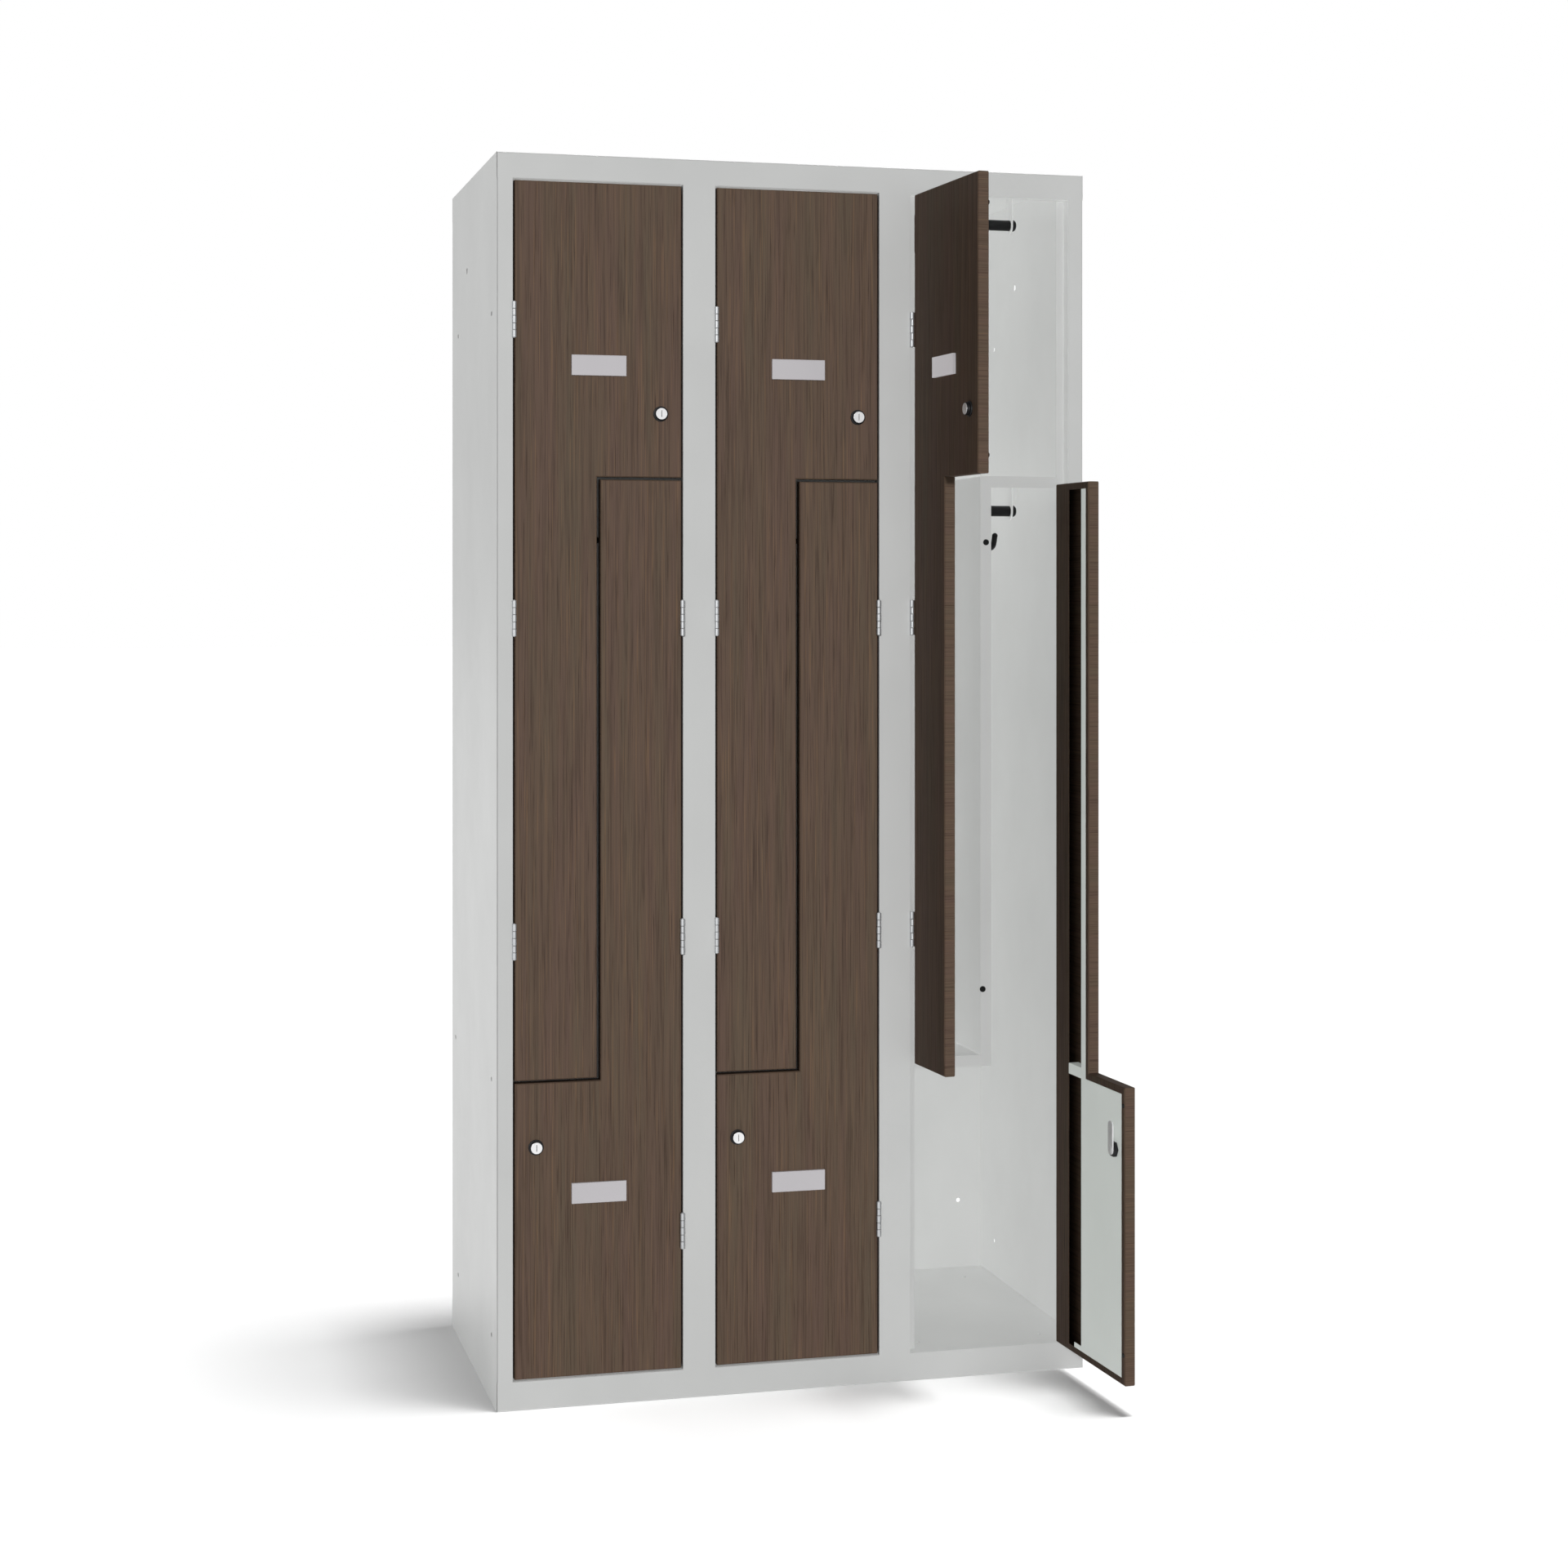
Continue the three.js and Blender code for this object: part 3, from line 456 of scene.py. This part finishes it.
for name in nodes:
    if name.startswith("door_skin"):
        dress(name, wood["shut"] if "_3_" not in name else wood[name.split("_")[-1]])
    elif name.startswith("door_stiffener"):
        dress(name, tray_coat)
    elif name.startswith("hinge"):
        dress(name, zinc)
    else:
        dress(name, grey_coat)


# The carcass's front: stiles and rails welded and ground flush
PLATE_FRONT = -10.25
PLATE_THICK = 0.9
PLATE_EDGE = 0.2
PLATE_SIDE = 448.3
PLATE_HEIGHTS = (1.8, 41.5, 1783.0, 1818.3)
DOORWAY_HALF = 126


def front_frame():
    """A thin plate over the flat of the stiles and rails, with a doorway cut for each column:
    the cells of a grid of cut lines that lie outside the doorways, front and back, and walls
    along their borders."""
    xs = [-PLATE_SIDE]
    for x in COLUMNS:
        xs += [x - DOORWAY_HALF, x + DOORWAY_HALF]
    xs = np.array([*xs, PLATE_SIDE])
    zs = np.array(PLATE_HEIGHTS)
    solid = np.ones((len(xs) - 1, len(zs) - 1), bool)
    solid[1::2, 1] = False
    grid = np.arange(len(xs) * len(zs)).reshape(len(xs), len(zs))
    flat = np.stack(np.meshgrid(xs, zs, indexing="ij"), -1).reshape(-1, 2)
    near = np.column_stack([flat[:, 0], np.full(len(flat), PLATE_FRONT), flat[:, 1]])
    v = np.vstack([near, near + (0, PLATE_THICK, 0)])
    i, k = np.nonzero(solid)
    cells = np.stack([grid[i, k], grid[i + 1, k], grid[i + 1, k + 1], grid[i, k + 1]], 1)
    edges = np.concatenate([cells[:, [a, (a + 1) % 4]] for a in range(4)])
    pairs = {tuple(e) for e in edges.tolist()}
    border = np.array([e for e in edges.tolist() if (e[1], e[0]) not in pairs])
    back = len(flat)
    walls = np.stack([border[:, 1], border[:, 0], border[:, 0] + back, border[:, 1] + back], 1)
    return v, cells.tolist() + (cells[:, ::-1] + back).tolist() + walls.tolist()


plate = piece("front_frame_face", [front_frame()], grey_coat, "carcass")
bevel = plate.modifiers.new("soft_edge", "BEVEL")
bevel.width = PLATE_EDGE * MM
bevel.segments = 2
# The edges are rounded before the normals are evened
plate.modifiers.move(1, 0)


# Hinges of five knuckles: their radius and bore, and the gap at each of their ends
FIXED_KNUCKLE = (3.3, 1.3)
FIXED_GAP = 0.1
DOOR_KNUCKLE = (3.05, 1.6)
DOOR_GAP = 0.4
PIN_RADIUS = 1.95
PIN_DOME = 0.9
PIN_TIP = 0.05
PIN_SUNK = 1.0
TAB_GAP = 0.25
TAB_THICK = 0.9
TAB_EDGE = 0.1
# The tab's strip in y: from inside the knuckle to the door's edge
TAB_REACH = (-AXIS_OUT + 1.8, 1.0)


def barrel(z0, z1, radius, bore):
    """A knuckle: a tube about the hinge axis with softened ends."""
    profile = fillet([(bore, z0), (radius, z0), (radius, z1), (bore, z1)],
                     (0.15, 0.5, 0.5, 0.15), 3)
    return moved(turned(profile, 28, "z", wrap=True), HINGE_X, -AXIS_OUT, 0)


def pin_head(z, side):
    """The pin's domed end, standing a little out of the last knuckle."""
    t = np.linspace(0, 1, 6) * np.pi / 2
    dome = np.stack([(PIN_RADIUS - PIN_TIP) * np.cos(t) + PIN_TIP, PIN_DOME * np.sin(t)], 1)
    profile = np.vstack([[PIN_RADIUS, -PIN_SUNK], dome]) * (1, side)
    return moved(turned(profile, 20, "z"), HINGE_X, -AXIS_OUT, z)


def knuckle_edges(z):
    """The heights between which the knuckles of a hinge about z lie."""
    return z - HINGE / 2 + KNUCKLE * np.arange(6)


def fixed_knuckles(z):
    """The carcass's knuckles, every other one from the end, and the pin's two ends."""
    edges = knuckle_edges(z)
    tubes = [barrel(edges[i] + FIXED_GAP, edges[i + 1] - FIXED_GAP, *FIXED_KNUCKLE)
             for i in (0, 2, 4)]
    return [*tubes, pin_head(edges[0], -1), pin_head(edges[5], 1)]


def door_knuckles(z):
    """The door's knuckles and the tabs that carry them: each tab is a strip that runs from
    the axis back along the door's edge."""
    edges = knuckle_edges(z)
    parts = [barrel(edges[i] + DOOR_GAP, edges[i + 1] - DOOR_GAP, *DOOR_KNUCKLE)
             for i in (1, 3)]
    near, far = TAB_REACH
    x = HINGE_X + TAB_GAP
    levels = [(TAB_EDGE, x), (0, x + TAB_EDGE), (0, x + TAB_THICK)]
    for i in (1, 3):
        low, high = edges[i] + TAB_GAP, edges[i + 1] - TAB_GAP
        strip = fillet([(near, low), (far, low), (far, high), (near, high)], 0.2, 2)
        parts.append(prism(strip, levels, "x"))
    return parts


for number, half in DOORS:
    order = ("top", "upper", "lower") if half == "upper" else ("bottom", "lower", "upper")
    for z, place in zip(HINGES, order):
        parts = [in_doorway(part, number, half, swing=False) for part in fixed_knuckles(z)]
        piece(f"hinge_knuckles_{number}_{half}_{place}", parts, zinc, "carcass")
    parts = [in_doorway(part, number, half) for z in HINGES for part in door_knuckles(z)]
    piece(f"door_knuckles_{number}_{half}", parts, zinc, f"door_{number}_{half}")


# Label holders
LABEL_HALF = 14.9
LABEL_RAIL = -4.8
LABEL_PLATE = -4.65
LABEL_FOOT = 0.2
# Half of the holder's length at each inset of its section, from the end inwards
LABEL_ENDS = ((0.35, 40.4), (0.1, 40.25), (0, 40))


def label_holder():
    """A plate with a rail along its lower and its upper edge, which stand a little before it:
    one section in (y, z) carried along x, its ends softened."""
    half = [(LABEL_PLATE, LABEL_HALF - 1.25), (LABEL_RAIL, LABEL_HALF - 1.1),
            (LABEL_RAIL, LABEL_HALF), (LABEL_FOOT, LABEL_HALF)]
    section = fillet([(y, -z) for y, z in half[::-1]] + half,
                     (0, 0.4, 0.1, 0.1, 0.1, 0.1, 0.4, 0), 2)
    levels = [(inset_by, -x) for inset_by, x in LABEL_ENDS]
    levels += LABEL_ENDS[::-1]
    return moved(prism(section, levels, "x"), 0, 0, LABEL_Z)


for number, half in DOORS:
    piece(f"label_holder_{number}_{half}", [in_doorway(label_holder(), number, half)],
          label_coat, f"door_{number}_{half}")


# Locks: radii about the plug's axis, and places in y from the door's front
HOUSING_BORE = 5.9
HOUSING_BODY = 8.2
HOUSING_END = 23.2
COLLAR = 11.2
COLLAR_FRONT = -2.3
NUT_CORNER = 11.9
NUT_ENDS = (17.3, 23.3)
NUT_EDGE = (0.6, 0.5)
DISC = 8.3
DISC_FLAT = 7.7
DISC_FRONT = -7.7
SLOT_HALF = (0.5, 4.9)
SLOT_FLOOR = -5.9
PLUG_SHAFT = 5.5
PLUG_RIM = (9.3, 8.4)
PLUG_RIM_BACK = -2.6
PLUG_RIM_FRONT = -7.4
CAM_HALF = 8
CAM_END = -41
CAM_ROUND = 7.9
CAM_LEVELS = ((0.4, 23.6), (0, 23.9), (0, 25.3), (0.4, 25.6))


def lock_housing():
    """The collar and threaded body, one profile carried round the bore, and a six-sided nut."""
    profile = fillet([(HOUSING_BORE, COLLAR_FRONT), (COLLAR, COLLAR_FRONT), (COLLAR, 0),
                      (HOUSING_BODY, 0), (HOUSING_BODY, HOUSING_END),
                      (HOUSING_BORE, HOUSING_END)], (0.2, 0.9, 0.1, 0.2, 0.4, 0.2), 4)
    hexagon = fillet(circle(NUT_CORNER, 6), 0.8, 4)
    drawn_in, depth = NUT_EDGE
    near, far = NUT_ENDS
    nut = prism(hexagon, [(drawn_in, near), (0, near + depth), (0, far - depth), (drawn_in, far)])
    return [turned(profile, 48, wrap=True), nut]


def lock_face():
    """The plug's bright disc: rings that go from its round edge to the outline of the key
    slot, each a share of both, then straight down into the slot and across its floor."""
    sides = 64
    round_edge = circle(1, sides)
    a = np.arange(sides) * 2 * np.pi / sides
    wide, high = SLOT_HALF
    slot = np.stack([np.clip(3 * np.cos(a), -wide, wide), np.clip(12 * np.sin(a), -high, high)], 1)
    edge = fillet([(DISC, -5.5), (DISC, DISC_FRONT), (DISC_FLAT, DISC_FRONT)], (0, 0.3, 0), 4,
                  closed=False)
    rings = [np.column_stack([round_edge[:, 0] * r, np.full(sides, y), round_edge[:, 1] * r])
             for r, y in edge]
    for share, depth in ((0.5, DISC_FRONT), (1.0, DISC_FRONT), (1.0, SLOT_FLOOR)):
        flat = round_edge * DISC_FLAT * (1 - share) + slot * share
        rings.append(np.column_stack([flat[:, 0], np.full(sides, depth), flat[:, 1]]))
    return shell(rings)


def lock_plug():
    """The black body that turns: shaft, shoulder and a rounded rim about the disc's seat."""
    outer, inner = PLUG_RIM
    profile = fillet([(PLUG_SHAFT, 23.4), (PLUG_SHAFT, PLUG_RIM_BACK), (outer, PLUG_RIM_BACK),
                      (outer, PLUG_RIM_FRONT), (inner, PLUG_RIM_FRONT), (inner, -6)],
                     (0, 0, 0.3, 0.5, 0.15, 0), 4, closed=False)
    return turned(profile, 48)


def lock_cam():
    """The shaft's rear end and the lever, a long plate with round ends and softened edges."""
    profile = fillet([(5.4, 23.2), (5.4, 25.9), (4.2, 26.4)], (0, 0.3, 0), 3, closed=False)
    lever = fillet([(-CAM_HALF, CAM_END), (CAM_HALF, CAM_END), (CAM_HALF, CAM_HALF),
                    (-CAM_HALF, CAM_HALF)], CAM_ROUND, 10)
    return [turned(profile), prism(lever, CAM_LEVELS)]


for number, half in DOORS:
    housing = [in_doorway(moved(part, LOCK_X, 0, LOCK_Z), number, half)
               for part in lock_housing()]
    piece(f"lock_housing_form_{number}_{half}", housing, black, f"door_{number}_{half}",
          [f"lock_housing_{number}_{half}"])
    plug = [in_doorway(moved(lock_plug(), LOCK_X, 0, LOCK_Z), number, half)]
    piece(f"lock_plug_form_{number}_{half}", plug, black, f"lock_{number}_{half}",
          [f"lock_plug_{number}_{half}"])
    bright = [in_doorway(moved(part, LOCK_X, 0, LOCK_Z), number, half)
              for part in [lock_face(), *lock_cam()]]
    piece(f"lock_face_and_cam_{number}_{half}", bright, nickel, f"lock_{number}_{half}")


# Coat rails: the hook's curve goes through points of (y, z) from the bar's middle
HOOK = [(0, -6), (0, -27), (-4, -48), (-16.8, -60), (-32, -55.8), (-40, -40.8)]
HOOK_BALL = 4.6
HOOK_TOP = 4.4
HOOK_WAIST = 1.3
CLIP = (8.6, 11.6)
CLIP_HALF = 5.5
RAIL_Y = 230.0
RAIL_HOOKS = (("upper", (1 / 3, 2 / 3)), ("lower", (0.56,)))
# The CAD's clip is the widest part about the bar: ten sides with a flat one on top
CLIP_CORNER = 11.5
CLIP_SIDES = 10


def coat_hook():
    """A hook: a rod along a curve that thins towards the bend and swells into a ball at its
    tip, under a clip that goes round the bar."""
    path = smooth_path(HOOK, 8)
    s = np.linspace(0, 1, len(path))
    radii = HOOK_TOP - HOOK_WAIST * np.sin(np.pi * np.minimum(s / 0.9, 1)) ** 2
    ball = circle(HOOK_BALL, 24)[:13][::-1]
    tip = np.stack([np.maximum(ball[:, 1], 0.05), ball[:, 0]], 1)
    bore, outer = CLIP
    clip = fillet([(bore, -CLIP_HALF), (outer, -CLIP_HALF), (outer, CLIP_HALF), (bore, CLIP_HALF)],
                  (0.2, 1.2, 1.2, 0.2), 4)
    return [swept(path, radii), moved(turned(tip, 24, "z"), 0, *HOOK[-1]),
            turned(clip, 36, "x", wrap=True)]


def coat_rail(x0, x1):
    """The bar with its end caps, one profile carried round it: the caps are wider, with
    domed ends and a groove where they meet the bar."""
    end = [(0.3, 0), (6.5, 0.15), (9.0, 2.6), (9.0, 7.6), (8.5, 8.0)]
    left = fillet(end, (0, 2.0, 1.6, 0.4, 0), 5, closed=False)
    right = left[::-1] * (1, -1)
    return turned(np.vstack([left + (0, x0), right + (0, x1)]), 40, "x")


for number in (1, 2, 3):
    for half, shares in RAIL_HOOKS:
        name = f"coat_rail_{number}_{half}"
        low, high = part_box(name)
        x0, x1 = low.x / MM, high.x / MM
        z = high.z / MM - CLIP_CORNER * math.cos(math.pi / CLIP_SIDES)
        parts = [moved(coat_rail(x0, x1), 0, RAIL_Y, z)]
        for share in shares:
            parts += [moved(part, x0 + (x1 - x0) * share, RAIL_Y, z) for part in coat_hook()]
        piece(f"{name}_form", parts, black, "carcass", [name])


# Rubber buffers: on the divider's flange and inside each door's free edge. Each kind has its
# radius and height
DIVIDER_BUFFER = (4.6, 1.6)
DIVIDER_FLANGE = 9.0
DIVIDER_PLACES = (("upper", 0.3, 1260.0), ("lower", -5.0, 581.0))
DOOR_BUFFER = (3.2, 1.4)
DOOR_BUFFER_X = 119.6
DOOR_BUFFER_Y = 17.2
DOOR_BUFFER_HEIGHTS = (465.9, 824.1)


def buffer(radius, height):
    """A disc facing the front: its rim is upright and its top is half an ellipse turned about
    its middle."""
    t = np.linspace(0, 1, 8) * np.pi / 2
    dome = np.stack([radius * np.cos(t), -height * (0.5 + 0.5 * np.sin(t))], 1)
    dome[-1, 0] = 0.1
    return turned(np.vstack([[radius, 0.3], [radius, -height * 0.4], dome[1:]]), 28)


for number, x in enumerate(COLUMNS, 1):
    for place, across, z in DIVIDER_PLACES:
        stop = moved(buffer(*DIVIDER_BUFFER), x + across, DIVIDER_FLANGE, z)
        piece(f"divider_buffer_{number}_{place}", [stop], rubber, "carcass")

for number, half in DOORS:
    stops = [moved(turned_back(buffer(*DOOR_BUFFER)), DOOR_BUFFER_X, DOOR_BUFFER_Y, z)
             for z in DOOR_BUFFER_HEIGHTS]
    piece(f"door_buffers_{number}_{half}", [in_doorway(part, number, half) for part in stops],
          rubber, f"door_{number}_{half}")


# Camera, light and floor, in metres
CAMERA_PLACE = (-1.0296, -3.8779, 1.1761)
CAMERA_TURN = -14.609
CAMERA_LENS = 61.872
CAMERA_SHIFT = -0.11895
FLOOR_HALF = 60.0
# How far the floor's lamps lean to the front, in degrees
FLOOR_TILT = 3
# The floor's glow and grey where it is seen, and its grey for the light that it throws back
FLOOR_GLOW = 0.1
FLOOR_SEEN = 0.82
FLOOR_BOUNCE = 0.3
WORLD_DIFFUSE = 0.24
WORLD_GLOSSY = 0.5

scene = bpy.context.scene
camera = bpy.data.objects.new("camera", bpy.data.cameras.new("camera"))
scene.collection.objects.link(camera)
camera.location = CAMERA_PLACE
camera.rotation_euler = (math.radians(90), 0, math.radians(CAMERA_TURN))
camera.data.sensor_width = 36
camera.data.lens = CAMERA_LENS
camera.data.shift_y = CAMERA_SHIFT
camera.data.clip_end = 200
scene.camera = camera
scene.view_settings.view_transform = "Standard"


def either(tree, *sockets):
    """1 where any of the sockets is 1."""
    total = sockets[0]
    for socket in sockets[1:]:
        node = tree.nodes.new("ShaderNodeMath")
        node.operation = "MAXIMUM"
        tree.links.new(total, node.inputs[0])
        tree.links.new(socket, node.inputs[1])
        total = node.outputs[0]
    return total


ground = bpy.data.materials.new("pale_floor")
ground.use_nodes = True
tree = ground.node_tree
shader = tree.nodes["Principled BSDF"]
shader.inputs["Roughness"].default_value = 1.0
shader.inputs["Specular IOR Level"].default_value = 0.0
light_path = tree.nodes.new("ShaderNodeLightPath").outputs
seen = either(tree, light_path["Is Camera Ray"], light_path["Is Glossy Ray"],
              light_path["Is Transmission Ray"])
level = tree.nodes.new("ShaderNodeMapRange")
tree.links.new(seen, level.inputs["Value"])
level.inputs["To Max"].default_value = FLOOR_GLOW
shade = tree.nodes.new("ShaderNodeMapRange")
tree.links.new(seen, shade.inputs["Value"])
shade.inputs["To Min"].default_value = FLOOR_BOUNCE
shade.inputs["To Max"].default_value = FLOOR_SEEN
tree.links.new(shade.outputs["Result"], shader.inputs["Base Color"])
shader.inputs["Emission Color"].default_value = (1, 1, 1, 1)
tree.links.new(level.outputs["Result"], shader.inputs["Emission Strength"])
mesh = bpy.data.meshes.new("floor")
corners = ((-1, -1), (1, -1), (1, 1), (-1, 1))
mesh.from_pydata([(x * FLOOR_HALF, y * FLOOR_HALF, 0) for x, y in corners], [], [(0, 1, 2, 3)])
mesh.materials.append(ground)
floor = bpy.data.objects.new("floor", mesh)
scene.collection.objects.link(floor)


def sun(name, azimuth, elevation, strength, spread, on, shadows=True):
    """A lamp far away: its azimuth goes from the front towards the right, and it is spread
    over an angle. Angles are in degrees. It lights the pieces whose names start with one
    of on."""
    data = bpy.data.lights.new(name, "SUN")
    data.energy = strength
    data.angle = math.radians(spread)
    data.use_shadow = shadows
    lamp = bpy.data.objects.new(name, data)
    scene.collection.objects.link(lamp)
    lamp.rotation_euler = (math.radians(90 - elevation), 0, math.radians(azimuth))
    lit = bpy.data.collections.new(f"lit_by_{name}")
    for thing in list(scene.objects):
        if thing.type == "MESH" and thing.name.startswith(tuple(on)):
            lit.objects.link(thing)
    lamp.light_linking.receiver_collection = lit


# The inside of the open column is a deep box, so lamps without shadows fill it from the left,
# the front, above and below. The floor has two lamps overhead, a little to the right and to
# the front, whose shadows fade away from the locker's left side.
fittings = ["lock_housing_form", "lock_plug_form", "lock_face_and_cam", "door_knuckles",
            "door_buffers"]
shut_fittings = [f"{kind}_{number}" for kind in ["label_holder", *fittings] for number in (1, 2)]
open_fittings = [f"{kind}_3" for kind in fittings]
open_column = ["right_side", "back_panel", "base_panel", "top_panel", "partition_2_right",
               "z_divider_3", "door_stiffener_3", "label_holder_3"]
sun("key_lamp", -20, 14, 2.35, 8, on=["front_frame_face", "hinge", *shut_fittings])
sun("door_lamp", 3, 5, 2.1, 4, on=["door_skin", *open_fittings])
sun("side_lamp", -88, 4, 2.6, 20, on=["left_side"])
sun("left_fill", -88, 4, 1.78, 20, shadows=False, on=open_column)
sun("front_fill", 0, 4, 1.3, 12, shadows=False, on=open_column)
sun("high_fill", 0, 86, 1.2, 20, shadows=False, on=open_column)
sun("low_fill", 0, -80, 2.1, 20, shadows=False, on=open_column)
sun("rear_lamp", 135, 35, 2.6, 20, on=["left_side", *open_column])
for number, (tilt, strength, spread) in enumerate(((3.6, 1.6, 7), (11, 1.4, 13)), 1):
    sun(f"floor_lamp_{number}", math.degrees(math.atan2(tilt, FLOOR_TILT)),
        90 - math.hypot(tilt, FLOOR_TILT), strength, spread, on=["floor"])

world = bpy.data.worlds.new("studio")
scene.world = world
world.use_nodes = True
tree = world.node_tree
background = tree.nodes["Background"]
light_path = tree.nodes.new("ShaderNodeLightPath").outputs
level = tree.nodes.new("ShaderNodeMapRange")
tree.links.new(light_path["Is Glossy Ray"], level.inputs["Value"])
level.inputs["To Min"].default_value = WORLD_DIFFUSE
level.inputs["To Max"].default_value = WORLD_GLOSSY
white = tree.nodes.new("ShaderNodeMapRange")
tree.links.new(either(tree, light_path["Is Camera Ray"], light_path["Is Transmission Ray"]),
               white.inputs["Value"])
tree.links.new(level.outputs["Result"], white.inputs["To Min"])
white.inputs["To Max"].default_value = 1.0
background.inputs["Color"].default_value = (1, 1, 1, 1)
tree.links.new(white.outputs["Result"], background.inputs["Strength"])
